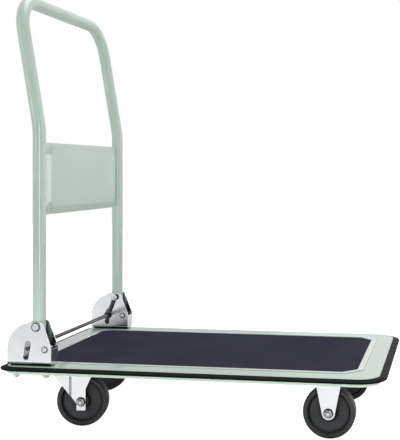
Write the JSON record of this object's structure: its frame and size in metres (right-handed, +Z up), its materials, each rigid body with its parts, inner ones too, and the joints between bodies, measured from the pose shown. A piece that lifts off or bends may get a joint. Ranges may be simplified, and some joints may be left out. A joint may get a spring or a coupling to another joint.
{
  "type": "folding platform trolley",
  "caption": "Flat-bed hand trolley: pressed deck with a rubber mat and edge bumper on swivel and fixed casters, and a bent-tube push handle that unlocks by foot and folds flat.",
  "frame": {"origin": "on the floor, under the middle of the deck", "axes": "+X towards the front (fixed wheels), the handle stands at -X; +Y to the left of the person who pushes; +Z up"},
  "size_m": [0.745, 0.481, 0.852],
  "materials": {
    "mint_paint": "smooth pale green powder coat",
    "mat_rubber": "dark violet-grey ribbed sheet",
    "bumper_rubber": "black, satin",
    "zinc_plate": "bright zinc plated pressing",
    "zinc_fastener": "bright zinc plated fastener",
    "dark_steel": "dark drawn steel bar",
    "spring_steel": "bare spring wire",
    "tyre_rubber": "dark grey solid rubber",
    "wheel_plastic": "dark grey moulding",
    "bush_steel": "plain steel sleeve"
  },
  "bodies": {
    "deck": {"deck_pan": "mint_paint", "deck_mat": "mat_rubber", "edge_bumper": "bumper_rubber", "cross_channels": "mint_paint", "bracket_bolts": "zinc_fastener", "bracket_nuts": "zinc_fastener", "stop_rivets": "zinc_fastener", "stop_sleeves": "bush_steel", "caster_studs": "zinc_fastener", "caster_nuts": "zinc_fastener", "side_rail_left": "mint_paint", "hinge_bracket_left": "zinc_plate", "bracket_pad_left": "bumper_rubber", "pivot_rivet_left": "zinc_fastener", "lock_spring_left": "spring_steel", "swivel_plate_left": "zinc_plate", "kingpin_left": "zinc_fastener", "fixed_fork_left": "zinc_plate", "front_axle_left": "zinc_fastener", "side_rail_right": "mint_paint", "hinge_bracket_right": "zinc_plate", "bracket_pad_right": "bumper_rubber", "pivot_rivet_right": "zinc_fastener", "lock_spring_right": "spring_steel", "swivel_plate_right": "zinc_plate", "kingpin_right": "zinc_fastener", "fixed_fork_right": "zinc_plate", "front_axle_right": "zinc_fastener"},
    "handle": {"handle_tube": "mint_paint", "handle_panel": "mint_paint", "pivot_bushes": "bush_steel"},
    "lock": {"lock_bar": "dark_steel", "bar_clips": "dark_steel"},
    "swivel_left": {"swivel_fork_left": "zinc_plate", "ball_ring_left": "bush_steel", "rear_axle_left": "zinc_fastener"},
    "rear_wheel_left": {"rear_tyre_left": "tyre_rubber", "rear_wheel_core_left": "wheel_plastic", "rear_wheel_bush_left": "bush_steel"},
    "front_wheel_left": {"front_tyre_left": "tyre_rubber", "front_wheel_core_left": "wheel_plastic", "front_wheel_bush_left": "bush_steel"},
    "swivel_right": {"swivel_fork_right": "zinc_plate", "ball_ring_right": "bush_steel", "rear_axle_right": "zinc_fastener"},
    "rear_wheel_right": {"rear_tyre_right": "tyre_rubber", "rear_wheel_core_right": "wheel_plastic", "rear_wheel_bush_right": "bush_steel"},
    "front_wheel_right": {"front_tyre_right": "tyre_rubber", "front_wheel_core_right": "wheel_plastic", "front_wheel_bush_right": "bush_steel"}
  },
  "joints": [
    {"name": "handle_fold", "type": "hinge", "parent": "deck", "child": "handle", "pos_m": [-0.2955, 0, 0.2062], "axis": [0, 1, 0], "range_deg": [0, 98.9]},
    {"name": "lock_bar_press", "type": "slide", "parent": "deck", "child": "lock", "axis": [-0.165, 0, -0.9863], "range_m": [0, 0.017], "stiffness_N_per_m": 1500, "springref_m": -0.02, "deforming": ["lock_spring_left", "lock_spring_right"]},
    {"name": "caster_swivel_left", "type": "hinge", "parent": "deck", "child": "swivel_left", "pos_m": [-0.2665, 0.143, 0.113], "axis": [0, 0, 1], "continuous": true},
    {"name": "rear_wheel_spin_left", "type": "hinge", "parent": "swivel_left", "child": "rear_wheel_left", "pos_m": [-0.2985, 0.143, 0.05], "axis": [0, 1, 0], "continuous": true},
    {"name": "front_wheel_spin_left", "type": "hinge", "parent": "deck", "child": "front_wheel_left", "pos_m": [0.26, 0.143, 0.05], "axis": [0, 1, 0], "continuous": true},
    {"name": "caster_swivel_right", "type": "hinge", "parent": "deck", "child": "swivel_right", "pos_m": [-0.2665, -0.143, 0.113], "axis": [0, 0, 1], "continuous": true},
    {"name": "rear_wheel_spin_right", "type": "hinge", "parent": "swivel_right", "child": "rear_wheel_right", "pos_m": [-0.23494, -0.13772, 0.05], "axis": [-0.165, 0.9863, 0], "continuous": true},
    {"name": "front_wheel_spin_right", "type": "hinge", "parent": "deck", "child": "front_wheel_right", "pos_m": [0.26, -0.143, 0.05], "axis": [0, 1, 0], "continuous": true}
  ]
}
